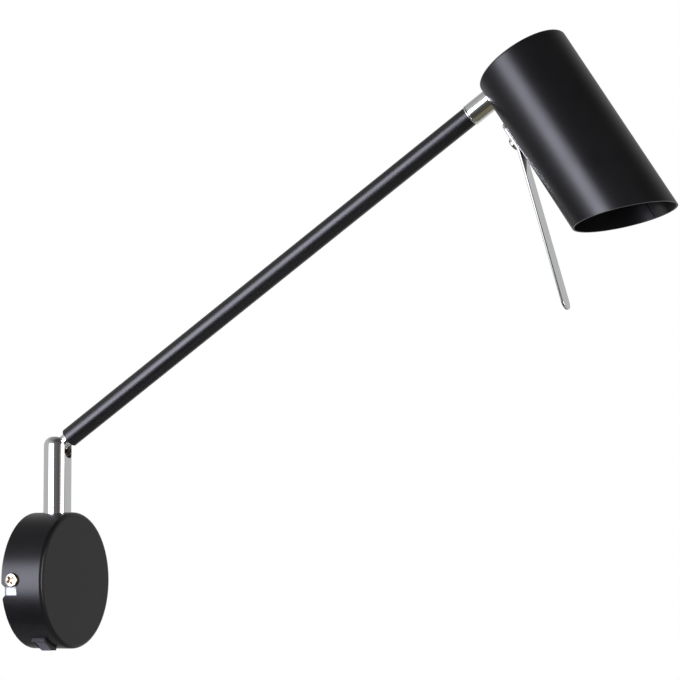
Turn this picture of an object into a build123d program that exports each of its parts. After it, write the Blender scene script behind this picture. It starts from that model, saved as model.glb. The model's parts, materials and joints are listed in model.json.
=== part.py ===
from build123d import *
from math import cos, radians, sin, sqrt, tan
import os

# Swivelling wall lamp: a round canopy on the wall carries a plated post, a tilting arm and a
# tubular shade with an oblique mouth, which a flat plated handle turns about the arm.
# Millimetres. X points out of the wall, Z up, Y to the right of someone facing the wall.
# The origin is the centre of the canopy, on the wall plane.

# Clearances
fit_clearance = 0.05
running_clearance = 0.1
hole_clearance = 0.2

# Canopy, a pressed steel cup with an open back
canopy_diameter = 83.0
canopy_depth = 28.0
canopy_wall = 1.0
canopy_edge_radius = 2.75

# Wall plate, a bent steel strap behind the canopy
plate_width = 20.0
plate_thickness = 1.5
plate_bend_radius = 1.0
tab_height = 13.0
tab_corner_radius = 3.0
fixing_spacing = 44.0
fixing_slot_width = 4.6
fixing_slot_length = 12.0
cable_hole_diameter = 12.0

# Canopy screws and the bayonet slots that hook on them
canopy_screw_diameter = 4.0
canopy_screw_head_diameter = 8.8
canopy_screw_head_height = 2.4
canopy_screw_offset = 7.6
canopy_screw_reach = 2.0
bayonet_width = 5.0
bayonet_drop = 6.6
bayonet_flare = 2.0

# Earth screw on the wall plate
earth_screw_diameter = 4.0
earth_screw_head_diameter = 8.0
earth_screw_head_height = 2.6
earth_screw_offset = 11.0

# Terminal block on a lug of the wall plate
terminal_poles = 3
terminal_pitch = 7.0
terminal_block_height = 15.0
terminal_block_depth = 11.0
terminal_edge_radius = 1.2
terminal_block_offset = 17.0
terminal_block_drop = 1.5
terminal_clamp_diameter = 4.2
terminal_clamp_bore = 2.6
terminal_clamp_height = 4.4
terminal_screw_diameter = 3.0
terminal_screw_spacing = 8.0
terminal_screw_sink = 1.6
lug_margin = 1.5

# Rocker switch in the rim of the canopy
switch_angle = 22.5
switch_offset = 14.8
switch_bezel_length = 15.0
switch_bezel_width = 10.5
switch_bezel_height = 1.5
switch_bezel_corner = 1.0
switch_bezel_edge = 0.4
switch_body_length = 13.0
switch_body_width = 8.5
switch_body_depth = 13.0
switch_well_depth = 6.0
rocker_length = 9.8
rocker_width = 6.4
rocker_tilt = 9.0
rocker_taper = 0.9
rocker_sink = 0.2
rocker_pivot_depth = 1.5
rocker_keel = 2.2
rocker_side_gap = 0.25
rocker_end_gap = 1.0
trunnion_diameter = 1.8
trunnion_length = 0.45
blade_width = 4.0
blade_thickness = 0.7
blade_length = 6.0
blade_spacing = 7.0

# Swivel bracket inside the canopy, which carries the post
bracket_thickness = 1.5
bracket_width = 22.0
bracket_bend_radius = 1.5
bracket_length = 22.0
bracket_flange_height = 18.0
bracket_sink = 4.0

# Post, a turned and plated sleeve with a slotted dome
post_diameter = 17.0
pivot_height = 81.65
dome_rise = 6.5
dome_edge_radius = 5.8
ball_diameter = 11.2
post_slot_width = 8.4
post_slot_drop = 7.0
thrust_washer_thickness = 1.0
spigot_diameter = 10.0
spigot_tail = 1.0
post_washer_diameter = 16.0
post_washer_thickness = 1.2
post_nut_flats = 14.0
post_nut_height = 5.0
follower_height = 8.0
spring_count = 4
spring_thickness = 0.7
spring_cone = 0.5
spring_bore = 5.0

# Arm and its ball knuckle; the arm turns with the post
arm_turn = -1.75
arm_rise = 33.6
arm_lowest = -5.0
arm_diameter = 12.0
arm_wall = 1.0
arm_length = 324.6
arm_start = 10.2
stem_diameter = 8.0
neck_diameter = 11.0
neck_start = 8.7
neck_flare = 0.8
arm_plug_length = 14.0

# Swivel between arm and shade
swivel_diameter = 13.0
swivel_ring_thickness = 1.7
swivel_sleeve_length = 13.3
swivel_edge_radius = 0.4
nipple_diameter = 8.0
nipple_grip = 10.0
nipple_tail = 1.0
nipple_washer_diameter = 11.0
nipple_washer_thickness = 0.8
nipple_nut_flats = 9.5
nipple_nut_height = 4.0

# Shade, a closed tube with an oblique mouth
shade_diameter = 57.1
shade_wall = 1.0
shade_top = 6.7
shade_edge_radius = 1.3
shade_mouth = 106.1
mouth_cut = 21.0

# Handle, a bent strip screwed to the shade
handle_width = 10.0
handle_thickness = 1.5
handle_top = 17.0
handle_bend = 36.6
handle_bend_angle = 17.0
handle_bend_radius = 6.0
handle_tongue = 96.7
handle_screw_place = 30.5
handle_screw_diameter = 4.0
handle_screw_head_diameter = 7.8
handle_screw_head_height = 2.2
handle_nut_flats = 7.0
handle_nut_height = 3.2
handle_screw_tail = 1.0

# Lampholder for a small screw cap, on a bent bracket in the shade
holder_bracket_width = 10.0
holder_bracket_thickness = 1.2
holder_bracket_bend_radius = 1.0
holder_bracket_top = 5.0
holder_shelf = 14.0
holder_shelf_end_radius = 10.0
holder_boss_diameter = 10.0
holder_boss_length = 4.0
holder_nut_flats = 14.0
holder_nut_height = 3.0
holder_cap_diameter = 24.0
holder_cap_length = 15.5
holder_cap_shoulder = 5.0
holder_cap_wall = 1.4
holder_cap_floor = 3.0
holder_skirt_diameter = 26.0
holder_skirt_length = 22.5
holder_skirt_bore = 17.2
holder_skirt_edge = 0.8
holder_neck_length = 4.0
holder_carrier_thickness = 4.0
holder_carrier_rise = 4.0
lamp_thread_diameter = 14.0
holder_shell_wall = 0.5
holder_shell_length = 14.0
holder_contact_diameter = 5.0
holder_contact_height = 1.6

# Leads, thin sheathed flex in the tubes and single cores in the canopy
lead_diameter = 3.2
lead_bore_clearance = 0.3
lead_stub = 1.0
lead_bend_radius = 9.0
core_diameter = 1.8
core_spread = 1.2
core_bend_radius = 6.0

# Places that follow from the sizes above
canopy_radius = canopy_diameter / 2
canopy_inner_radius = canopy_radius - canopy_wall
canopy_inner_front = canopy_depth - canopy_wall
tab_face = sqrt(canopy_inner_radius**2 - (plate_width / 2) ** 2) - hole_clearance
post_offset = canopy_depth / 2
post_radius = post_diameter / 2
bracket_top = canopy_radius - bracket_sink
bracket_underside = bracket_top - bracket_thickness
post_seat = bracket_top + thrust_washer_thickness
dome_top = pivot_height + dome_rise
ball_radius = ball_diameter / 2
ball_seat_radius = ball_radius + running_clearance
spigot_radius = spigot_diameter / 2
spigot_hole_radius = spigot_radius + running_clearance
post_nut_top = bracket_underside - post_washer_thickness
post_nut_low = post_nut_top - post_nut_height
spigot_low = post_nut_low - spigot_tail
stem_radius = stem_diameter / 2
lead_radius = lead_diameter / 2
lead_bore = lead_radius + lead_bore_clearance
lead_low = spigot_low - lead_stub
stem_dip = ball_seat_radius * tan(radians(-arm_lowest)) + stem_radius / cos(radians(arm_lowest))
follower_top = pivot_height - stem_dip - hole_clearance
follower_low = follower_top - follower_height
spring_pitch = spring_thickness + spring_cone
spring_low = follower_low - spring_count * spring_pitch

arm_radius = arm_diameter / 2
arm_bore = arm_radius - arm_wall
arm_plug_radius = arm_bore - fit_clearance
arm_end = arm_start + arm_length
swivel_radius = swivel_diameter / 2
swivel_face = arm_end + swivel_ring_thickness
nipple_radius = nipple_diameter / 2
nipple_hole = nipple_radius + running_clearance
shade_radius = shade_diameter / 2
shade_inner_radius = shade_radius - shade_wall
reach = swivel_face + swivel_sleeve_length + shade_radius
holder_leg_face = sqrt(shade_inner_radius**2 - (holder_bracket_width / 2) ** 2) - fit_clearance
nipple_washer_start = reach - holder_leg_face + holder_bracket_thickness
nipple_nut_start = nipple_washer_start + nipple_washer_thickness
nipple_end = nipple_nut_start + nipple_nut_height + nipple_tail
arm_lead_end = nipple_end + lead_stub

holder_seat = holder_shelf + holder_bracket_thickness
holder_cap_radius = holder_cap_diameter / 2
holder_cap_bore = holder_cap_radius - holder_cap_wall
holder_cap_end = holder_seat + holder_cap_length
holder_skirt_end = holder_cap_end + holder_skirt_length
holder_bore_radius = holder_skirt_bore / 2
holder_neck_start = holder_cap_end - holder_neck_length
holder_carrier_start = holder_neck_start - holder_carrier_thickness
holder_carrier_face = holder_cap_end + holder_carrier_rise
holder_contact_seat = holder_carrier_face - holder_contact_height
holder_boss_start = holder_shelf - holder_boss_length
lamp_thread_radius = lamp_thread_diameter / 2

# Frames: the wall, the post, the arm, the shade and the switch
turn = radians(arm_turn)
rise = radians(arm_rise)
outward = Vector(cos(turn), sin(turn), 0)
sideways = Vector(-sin(turn), cos(turn), 0)
upward = Vector(0, 0, 1)
arm_direction = outward * cos(rise) + upward * sin(rise)
shade_direction = outward * sin(rise) - upward * cos(rise)
pivot = Vector(post_offset, 0, pivot_height)
wall_frame = Plane(origin=(0, 0, 0), x_dir=(0, 1, 0), z_dir=(1, 0, 0))
post_frame = Plane(origin=(post_offset, 0, 0), x_dir=outward, z_dir=upward)
arm_frame = Plane(origin=pivot, x_dir=sideways, z_dir=arm_direction)
shade_frame = Plane(origin=pivot + arm_direction * reach, x_dir=arm_direction, z_dir=shade_direction)
handle_frame = Plane(
    origin=shade_frame.from_local_coords(Vector(-shade_radius, 0, handle_screw_place)),
    x_dir=sideways,
    z_dir=-arm_direction,
)
switch_normal = Vector(0, -sin(radians(switch_angle)), -cos(radians(switch_angle)))
switch_frame = Plane(
    origin=Vector(switch_offset, 0, 0) + switch_normal * canopy_radius,
    x_dir=(1, 0, 0),
    z_dir=switch_normal,
)


def rod(radius, low, high):
    """Round bar along the local Z axis."""
    bar = Cylinder(radius, high - low, align=(Align.CENTER, Align.CENTER, Align.MIN))
    return Pos(0, 0, low) * bar


def ring(outer, inner, low, high):
    """Round bar with a bore."""
    return rod(outer, low, high) - rod(inner, low, high)


def turned(*corners):
    """Body of revolution about the local Z axis, from its (radius, height) corners."""
    outline = Polyline(*[(radius, 0, height) for radius, height in corners], close=True)
    return revolve(make_face(outline), Axis.Z)


def hex_nut(flats, hole_radius, low, high):
    """Hexagon nut along the local Z axis."""
    blank = extrude(RegularPolygon(flats / 2, 6, major_radius=False), high - low)
    return Pos(0, 0, low) * blank - rod(hole_radius, low, high)


def pan_screw(head_diameter, head_height, shank_diameter, shank_length):
    """Screw with its rounded head above the local XY plane and its shank below."""
    head = rod(head_diameter / 2, 0, head_height)
    head = fillet(head.edges().group_by(Axis.Z)[-1], head_height * 0.7)
    return head + rod(shank_diameter / 2, -shank_length, 0)


def rounded_rod(radius, low, high, edge):
    """Round bar with a rounded edge at its high end."""
    bar = rod(radius, low, high)
    return fillet(bar.edges().group_by(Axis.Z)[-1], edge)


def bent_strip(outer, inner, width):
    """Folded sheet, the difference of two outlines, as wide as it says about its own plane."""
    return extrude(outer - inner, width / 2, both=True)


def lead(points, radius, bend_radius):
    """Insulated wire along straight runs joined by arcs."""
    path = FilletPolyline(*points, radius=bend_radius)
    return sweep(Plane(origin=path @ 0, z_dir=path % 0) * Circle(radius), path)


def bayonet_slot():
    """Cutter for the L-shaped slot in the rim that hooks over a canopy screw."""
    half = bayonet_width / 2
    top = half - bayonet_drop
    low = top - bayonet_width
    turn_end = canopy_screw_offset + half
    entry = make_face(Polyline((-half, top), (turn_end, top), (turn_end, low), (-half, low), close=True))
    leg_edge = canopy_screw_offset - half
    leg = make_face(Polyline((leg_edge, 0), (turn_end, 0), (turn_end, low), (leg_edge, low), close=True))
    flare = bayonet_flare
    mouth = make_face(
        Polyline(
            (-flare, top + 2 * flare),
            (flare, top),
            (flare, low),
            (-flare, low - 2 * flare),
            close=True,
        )
    )
    seat = Pos(canopy_screw_offset, 0) * Circle(half)
    side = Plane.XZ.offset(tab_face - plate_thickness)
    return side * extrude(entry + leg + mouth + seat, canopy_radius)


def canopy_cup():
    """Pressed cup with holes for the post, the switch and the two screws."""
    outside = rounded_rod(canopy_radius, 0, canopy_depth, canopy_edge_radius)
    inner_edge = canopy_edge_radius - canopy_wall
    inside = rounded_rod(canopy_inner_radius, -canopy_wall, canopy_inner_front, inner_edge)
    cup = wall_frame * (outside - inside)
    cup -= post_frame * rod(post_radius + hole_clearance, bracket_top, canopy_diameter)
    cutout = Box(
        switch_body_width + 2 * hole_clearance,
        switch_body_length + 2 * hole_clearance,
        2 * switch_body_depth,
    )
    cup -= switch_frame * cutout
    for side in (0, 180):
        cup -= Rot(side, 0, 0) * bayonet_slot()
    return cup


def wall_plate():
    """Strap across the back with bent tabs, fixing slots, a cable hole and a lug."""
    bend = plate_bend_radius
    outer = Rectangle(tab_height, 2 * tab_face, align=(Align.MIN, Align.CENTER))
    outer = fillet(outer.vertices().group_by(Axis.X)[0], bend + plate_thickness)
    inner = Rectangle(
        tab_height,
        2 * (tab_face - plate_thickness),
        align=(Align.MIN, Align.CENTER),
    )
    inner = Pos(plate_thickness, 0) * fillet(inner.vertices().group_by(Axis.X)[0], bend)
    strap = bent_strip(outer, inner, plate_width)
    tab_corners = strap.edges().filter_by(Axis.Y).group_by(Axis.X)[-1]
    strap = fillet(tab_corners, tab_corner_radius)
    lug = Rectangle(
        terminal_poles * terminal_pitch + 2 * lug_margin,
        terminal_block_drop + terminal_block_height + lug_margin,
        align=(Align.CENTER, Align.MAX),
    )
    strap += wall_frame * Pos(terminal_block_offset, -plate_width / 2) * extrude(lug, plate_thickness)
    holes = Circle(cable_hole_diameter / 2)
    for side in (-1, 1):
        slot = SlotOverall(fixing_slot_length, fixing_slot_width)
        holes += Pos(side * fixing_spacing / 2, 0) * slot
    holes += Pos(-earth_screw_offset, 0) * Circle(earth_screw_diameter / 2 + fit_clearance)
    strap -= wall_frame * extrude(holes, plate_thickness)
    screw_hole = rod(canopy_screw_diameter / 2 + fit_clearance, -canopy_radius, canopy_radius)
    return strap - Plane((canopy_screw_offset, 0, 0), (1, 0, 0), (0, -1, 0)) * screw_hole


def canopy_screws():
    """Two screws in the plate's tabs, whose heads hold the rim of the canopy."""
    shank = canopy_radius - tab_face + plate_thickness + canopy_screw_reach
    screw = pan_screw(
        canopy_screw_head_diameter,
        canopy_screw_head_height,
        canopy_screw_diameter,
        shank,
    )
    near = Plane((canopy_screw_offset, -canopy_radius, 0), (1, 0, 0), (0, -1, 0)) * screw
    return Part() + [near, Rot(180, 0, 0) * near]


def earth_screw():
    """Brass screw that bonds the plate to earth."""
    screw = pan_screw(
        earth_screw_head_diameter,
        earth_screw_head_height,
        earth_screw_diameter,
        plate_thickness,
    )
    return wall_frame * Pos(-earth_screw_offset, 0, plate_thickness) * screw


def terminal_frame():
    """Frame on the lug, at the middle of the terminal block's base."""
    middle = -plate_width / 2 - terminal_block_drop - terminal_block_height / 2
    return wall_frame * Pos(terminal_block_offset, middle, plate_thickness)


def terminal_places():
    """Sideways place of each pole from the middle of the block."""
    return [(pole - (terminal_poles - 1) / 2) * terminal_pitch for pole in range(terminal_poles)]


def along_terminal(radius, length):
    """Round bar along the wires' way through the block."""
    return Rot(90, 0, 0) * rod(radius, -length / 2, length / 2)


def terminal_block():
    """Nylon block with a wire passage and two screw wells for each pole."""
    width = terminal_poles * terminal_pitch
    block = Box(
        width,
        terminal_block_height,
        terminal_block_depth,
        align=(Align.CENTER, Align.CENTER, Align.MIN),
    )
    block = fillet(block.edges().filter_by(Axis.Y).group_by(Axis.Z)[-1], terminal_edge_radius)
    clamp_hole = terminal_clamp_diameter / 2 + fit_clearance
    well_radius = terminal_screw_diameter / 2 + hole_clearance
    for place in terminal_places():
        block -= Pos(place, 0, terminal_clamp_height) * along_terminal(clamp_hole, terminal_block_height)
        for side in (-1, 1):
            well = rod(well_radius, terminal_clamp_height, terminal_block_depth)
            block -= Pos(place, side * terminal_screw_spacing / 2) * well
    return terminal_frame() * block


def terminal_clamps():
    """Brass tubes that join the wires inside the block."""
    tube = along_terminal(terminal_clamp_diameter / 2, terminal_block_height)
    tube -= along_terminal(terminal_clamp_bore / 2, terminal_block_height)
    return Part() + [
        terminal_frame() * Pos(place, 0, terminal_clamp_height) * tube for place in terminal_places()
    ]


def terminal_screws():
    """Grub screws that stand on the clamps, two to a pole."""
    low = terminal_clamp_height + terminal_clamp_diameter / 2
    screw = rod(terminal_screw_diameter / 2, low, terminal_block_depth - terminal_screw_sink)
    sides = (-terminal_screw_spacing / 2, terminal_screw_spacing / 2)
    return Part() + [
        terminal_frame() * Pos(place, side) * screw for place in terminal_places() for side in sides
    ]


def rocker_axis(radius, length):
    """Round bar along the rocker's hinge line, in the switch's frame."""
    bar = rod(radius, -length / 2, length / 2)
    return Pos(0, 0, -rocker_pivot_depth) * Rot(0, 90, 0) * bar


def switch_housing():
    """Moulded body behind the rim and the bezel that sits on it."""
    bezel = Box(switch_bezel_width, switch_bezel_length, 2 * switch_bezel_height)
    bezel = fillet(bezel.edges().filter_by(Axis.Z), switch_bezel_corner)
    bezel = fillet(bezel.edges().group_by(Axis.Z)[-1], switch_bezel_edge)
    rim = Pos(0, 0, -canopy_radius) * Rot(0, 90, 0) * rod(canopy_radius, -canopy_depth, canopy_depth)
    body = Box(
        switch_body_width,
        switch_body_length,
        switch_body_depth + switch_bezel_height / 2,
        align=(Align.CENTER, Align.CENTER, Align.MIN),
    )
    housing = bezel - rim + Pos(0, 0, -switch_body_depth) * body
    well = Box(
        rocker_width + 2 * rocker_side_gap,
        rocker_length + 2 * rocker_end_gap,
        switch_well_depth + 2 * switch_bezel_height,
        align=(Align.CENTER, Align.CENTER, Align.MIN),
    )
    housing -= Pos(0, 0, -switch_well_depth) * well
    sockets = rocker_axis(
        trunnion_diameter / 2 + fit_clearance,
        rocker_width + 2 * trunnion_length + 2 * fit_clearance,
    )
    return switch_frame * (housing - sockets)


def switch_terminals():
    """Blade terminals at the back of the switch."""
    blade = Box(
        blade_width,
        blade_thickness,
        blade_length,
        align=(Align.CENTER, Align.CENTER, Align.MAX),
    )
    places = (-blade_spacing / 2, blade_spacing / 2)
    return Part() + [switch_frame * Pos(0, place, -switch_body_depth) * blade for place in places]


def switch_rocker():
    """Rocker with two faces in a shallow vee, pressed at the end towards the wall side."""
    half = rocker_length / 2
    crown = switch_bezel_height - rocker_sink
    keel = -rocker_pivot_depth - rocker_keel
    end_height = crown + half * tan(radians(rocker_tilt))
    foot = half - rocker_taper
    outline = make_face(
        Polyline(
            (0, crown),
            (half, end_height),
            (foot, keel),
            (-foot, keel),
            (-half, end_height),
            close=True,
        )
    )
    side = Plane(origin=(0, 0, 0), x_dir=(0, 1, 0), z_dir=(1, 0, 0))
    rocker = side * extrude(outline, rocker_width / 2, both=True)
    rocker += rocker_axis(trunnion_diameter / 2, rocker_width + 2 * trunnion_length)
    hinge = Pos(0, 0, -rocker_pivot_depth)
    return switch_frame * hinge * Rot(-rocker_tilt, 0, 0) * hinge.inverse() * rocker


def swivel_bracket():
    """Folded bracket on the front wall of the canopy, whose shelf carries the post."""
    outer = Rectangle(bracket_length, bracket_flange_height, align=(Align.MAX, Align.MAX))
    corner = outer.vertices().sort_by(Axis.X)[-2:].sort_by(Axis.Y)[-1]
    outer = fillet(corner, bracket_bend_radius + bracket_thickness)
    inner = Rectangle(bracket_length, bracket_flange_height, align=(Align.MAX, Align.MAX))
    corner = inner.vertices().sort_by(Axis.X)[-2:].sort_by(Axis.Y)[-1]
    inner = Pos(-bracket_thickness, -bracket_thickness) * fillet(corner, bracket_bend_radius)
    fold = bent_strip(outer, inner, bracket_width)
    fold = Pos(canopy_inner_front, 0, bracket_top) * Rot(90, 0, 0) * fold
    return fold - post_frame * rod(spigot_hole_radius, bracket_underside, bracket_top)


def thrust_washer():
    """Nylon washer that the post turns on."""
    return post_frame * ring(post_radius, spigot_hole_radius, bracket_top, post_seat)


def post_sleeve():
    """Turned sleeve with a ball seat under its dome and a slot for the arm's stem."""
    sleeve = rounded_rod(post_radius, post_seat, dome_top, dome_edge_radius)
    sleeve -= rod(ball_seat_radius, post_seat, pivot_height)
    sleeve -= Pos(0, 0, pivot_height) * Sphere(ball_seat_radius)
    half = post_slot_width / 2
    slot_end = pivot_height - post_slot_drop + half
    slot = Box(
        post_diameter,
        post_slot_width,
        dome_top - slot_end,
        align=(Align.MIN, Align.CENTER, Align.MIN),
    )
    sleeve -= Pos(0, 0, slot_end) * slot
    sleeve -= Pos(0, 0, slot_end) * Rot(0, 90, 0) * rod(half, 0, post_diameter)
    sleeve -= rod(half, pivot_height, dome_top)
    return post_frame * sleeve


def post_spigot():
    """Hollow plug in the foot of the post, whose thread hangs through the bracket."""
    plug_radius = ball_seat_radius - fit_clearance
    spigot = turned(
        (lead_bore, spigot_low),
        (spigot_radius, spigot_low),
        (spigot_radius, post_seat),
        (plug_radius, post_seat),
        (plug_radius, spring_low),
        (lead_bore, spring_low),
    )
    return post_frame * spigot


def post_washer():
    """Spring washer under the bracket."""
    return post_frame * ring(
        post_washer_diameter / 2,
        spigot_hole_radius,
        post_nut_top,
        bracket_underside,
    )


def post_nut():
    """Nut that sets how stiffly the post turns."""
    return post_frame * hex_nut(
        post_nut_flats,
        spigot_radius + fit_clearance,
        post_nut_low,
        post_nut_top,
    )


def ball_follower():
    """Pressure piece with a dished top under the ball."""
    follower = rod(ball_seat_radius - running_clearance, follower_low, follower_top)
    follower -= Pos(0, 0, pivot_height) * Sphere(ball_radius + fit_clearance)
    return post_frame * (follower - rod(lead_bore, follower_low, follower_top))


def disc_springs():
    """Stack of coned washers that presses the follower against the ball."""
    outer = ball_seat_radius - running_clearance
    bore = spring_bore / 2
    discs = []
    for place in range(spring_count):
        low = spring_low + place * spring_pitch
        bore_low = low + spring_cone * (1 - place % 2)
        rim_low = low + spring_cone * (place % 2)
        disc = turned(
            (bore, bore_low),
            (outer, rim_low),
            (outer, rim_low + spring_thickness),
            (bore, bore_low + spring_thickness),
        )
        discs.append(post_frame * disc)
    return Part() + discs


def lead_in_post():
    """Flex through the post, ending under the ball."""
    return post_frame * rod(lead_radius, lead_low, pivot_height - lead_radius - lead_bore / 2)


def ball_knuckle():
    """Ball, stem, flared neck and plug in one turned piece, bored for the flex and slotted below the ball."""
    neck = turned(
        (0, neck_start),
        (stem_radius, neck_start),
        (neck_diameter / 2, neck_start + neck_flare),
        (neck_diameter / 2, arm_start),
        (0, arm_start),
    )
    knuckle = Sphere(ball_radius) + rod(stem_radius, 0, arm_start) + neck
    knuckle += rod(arm_plug_radius, arm_start, arm_start + arm_plug_length)
    knuckle -= rod(lead_bore, 0, arm_start + arm_plug_length)
    swing = lead_bore + ball_radius * sin(radians(-arm_lowest))
    sweep_slot = Box(
        2 * lead_bore,
        ball_diameter,
        ball_diameter,
        align=(Align.CENTER, Align.MAX, Align.MAX),
    )
    return arm_frame * (knuckle - Pos(0, swing, swing) * sweep_slot)


def arm_tube():
    """Straight steel tube."""
    return arm_frame * ring(arm_radius, arm_bore, arm_start, arm_end)


def arm_end_plug():
    """Plug in the upper end of the arm, tapped for the nipple."""
    plug = rod(arm_plug_radius, arm_end - arm_plug_length, arm_end)
    plug -= rod(nipple_radius + fit_clearance, arm_end - nipple_grip, arm_end)
    return arm_frame * (plug - rod(lead_bore, arm_end - arm_plug_length, arm_end))


def swivel_ring():
    """Plated ring on the end of the arm that the sleeve turns against."""
    disc = ring(swivel_radius, nipple_radius + fit_clearance, arm_end, swivel_face)
    return arm_frame * fillet(disc.edges().group_by(Axis.Z)[0].sort_by(SortBy.RADIUS)[-1], swivel_edge_radius)


def swivel_nipple():
    """Hollow threaded nipple from the arm into the shade."""
    return arm_frame * ring(nipple_radius, lead_bore, arm_end - nipple_grip, nipple_end)


def nipple_washer():
    """Spring washer on the nipple inside the shade."""
    return arm_frame * ring(
        nipple_washer_diameter / 2,
        nipple_radius + fit_clearance,
        nipple_washer_start,
        nipple_nut_start,
    )


def nipple_nut():
    """Nut that sets how stiffly the shade turns."""
    return arm_frame * hex_nut(
        nipple_nut_flats,
        nipple_radius + fit_clearance,
        nipple_nut_start,
        nipple_nut_start + nipple_nut_height,
    )


def lead_in_arm():
    """Flex through the arm, round at the ball so that it can tilt there."""
    return arm_frame * (Sphere(lead_radius) + rod(lead_radius, 0, arm_lead_end))


def swivel_sleeve():
    """Plated sleeve on the shade, coped to its wall."""
    sleeve = ring(swivel_radius, nipple_hole, swivel_face + running_clearance, reach)
    sleeve = arm_frame * sleeve
    return sleeve - shade_frame * rod(shade_radius, -shade_diameter, shade_diameter)


def shade_cup():
    """Tube closed at the top and cut off slantwise at the mouth."""
    length = shade_mouth + shade_radius * tan(radians(mouth_cut)) + shade_wall
    outside = rod(shade_radius, -shade_top, length)
    outside = fillet(outside.edges().group_by(Axis.Z)[0], shade_edge_radius)
    inside = rod(shade_inner_radius, shade_wall - shade_top, length)
    inside = fillet(inside.edges().group_by(Axis.Z)[0], shade_edge_radius - shade_wall)
    cup = outside - inside
    beyond = Box(
        2 * shade_diameter,
        2 * shade_diameter,
        shade_diameter,
        align=(Align.CENTER, Align.CENTER, Align.MIN),
    )
    cup -= Pos(0, 0, shade_mouth) * Rot(0, -mouth_cut, 0) * beyond
    cup = shade_frame * cup
    cup -= arm_frame * rod(nipple_hole, swivel_face, reach)
    screw_hole = rod(handle_screw_diameter / 2 + hole_clearance, -shade_radius, shade_wall)
    return cup - handle_frame * screw_hole


def handle_strip():
    """Plated strip with round ends, flat on the shade and bent away from it below."""
    bend = radians(handle_bend_angle)
    thick = handle_thickness
    tip = Vector(-shade_radius - handle_tongue * sin(bend), handle_bend + handle_tongue * cos(bend))
    outline = Polyline(
        (-shade_radius, handle_top),
        (-shade_radius, handle_bend),
        (tip.X, tip.Y),
        (tip.X - thick * cos(bend), tip.Y - thick * sin(bend)),
        (-shade_radius - thick, handle_bend - thick * tan(bend / 2)),
        (-shade_radius - thick, handle_top),
        close=True,
    )
    profile = make_face(outline)
    bends = profile.vertices().sort_by_distance((-shade_radius, handle_bend))[:2]
    inner_bend, outer_bend = bends.sort_by(Axis.X)
    profile = fillet(outer_bend, handle_bend_radius + thick)
    inner_bend = profile.vertices().sort_by_distance(inner_bend)[0]
    profile = fillet(inner_bend, handle_bend_radius)
    strip = Rot(90, 0, 0) * extrude(profile, handle_width / 2, both=True)
    corners = strip.edges().filter_by(lambda edge: abs(edge.length - thick) < fit_clearance)
    strip = fillet(corners, handle_width / 2 - fit_clearance)
    screw_hole = rod(handle_screw_diameter / 2 + hole_clearance, 0, thick)
    return shade_frame * strip - handle_frame * screw_hole


def handle_nut_seat():
    """Depth of the nut's seat on the hollow side of the shade's wall."""
    corner = handle_nut_flats / sqrt(3)
    return shade_radius - sqrt(shade_inner_radius**2 - corner**2) + fit_clearance


def handle_screw():
    """Screw through the handle and the wall of the shade."""
    shank = handle_thickness + handle_nut_seat() + handle_nut_height + handle_screw_tail
    screw = pan_screw(
        handle_screw_head_diameter,
        handle_screw_head_height,
        handle_screw_diameter,
        shank,
    )
    return handle_frame * Pos(0, 0, handle_thickness) * screw


def handle_nut():
    """Nut inside the shade."""
    top = -handle_nut_seat()
    return handle_frame * hex_nut(
        handle_nut_flats,
        handle_screw_diameter / 2 + fit_clearance,
        top - handle_nut_height,
        top,
    )


def lampholder_bracket():
    """Folded bracket: a leg under the nipple's nut and a shelf across the shade."""
    leg_length = holder_seat + holder_bracket_top
    shelf_length = holder_leg_face + holder_shelf_end_radius
    thick = holder_bracket_thickness
    bend = holder_bracket_bend_radius
    outer = Rectangle(shelf_length, leg_length, align=(Align.MIN, Align.MAX))
    corner = outer.vertices().sort_by(Axis.X)[:2].sort_by(Axis.Y)[-1]
    outer = fillet(corner, bend + thick)
    inner = Rectangle(shelf_length, leg_length, align=(Align.MIN, Align.MAX))
    corner = inner.vertices().sort_by(Axis.X)[:2].sort_by(Axis.Y)[-1]
    inner = Pos(thick, -thick) * fillet(corner, bend)
    fold = bent_strip(outer, inner, holder_bracket_width)
    fold = Pos(-holder_leg_face, 0, holder_seat) * Rot(90, 0, 0) * fold
    fold += rod(holder_shelf_end_radius, holder_shelf, holder_seat)
    fold -= rod(holder_boss_diameter / 2 + hole_clearance, holder_shelf, holder_seat)
    return shade_frame * fold - arm_frame * rod(nipple_hole, swivel_face, reach)


def lampholder_cap():
    """Moulded cap with a threaded boss through the bracket's shelf."""
    boss = holder_boss_diameter / 2
    shoulder = holder_cap_radius - holder_cap_shoulder
    floor = holder_seat + holder_cap_floor
    cap = turned(
        (lead_bore, holder_boss_start),
        (boss, holder_boss_start),
        (boss, holder_seat),
        (shoulder, holder_seat),
        (holder_cap_radius, holder_seat + holder_cap_shoulder),
        (holder_cap_radius, holder_cap_end),
        (holder_cap_bore, holder_cap_end),
        (holder_cap_bore, holder_seat + holder_cap_shoulder),
        (shoulder, floor),
        (lead_bore, floor),
    )
    return shade_frame * cap


def lampholder_nut():
    """Nut that clamps the cap to the shelf."""
    return shade_frame * hex_nut(
        holder_nut_flats,
        holder_boss_diameter / 2 + fit_clearance,
        holder_shelf - holder_nut_height,
        holder_shelf,
    )


def lampholder_carrier():
    """Ceramic core held between the cap and the skirt."""
    core = turned(
        (0, holder_carrier_start),
        (holder_cap_bore - fit_clearance, holder_carrier_start),
        (holder_cap_bore - fit_clearance, holder_neck_start),
        (holder_bore_radius - fit_clearance, holder_neck_start),
        (holder_bore_radius - fit_clearance, holder_carrier_face),
        (0, holder_carrier_face),
    )
    recess = rod(holder_contact_diameter / 2 + fit_clearance, holder_contact_seat, holder_carrier_face)
    return shade_frame * (core - recess)


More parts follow.
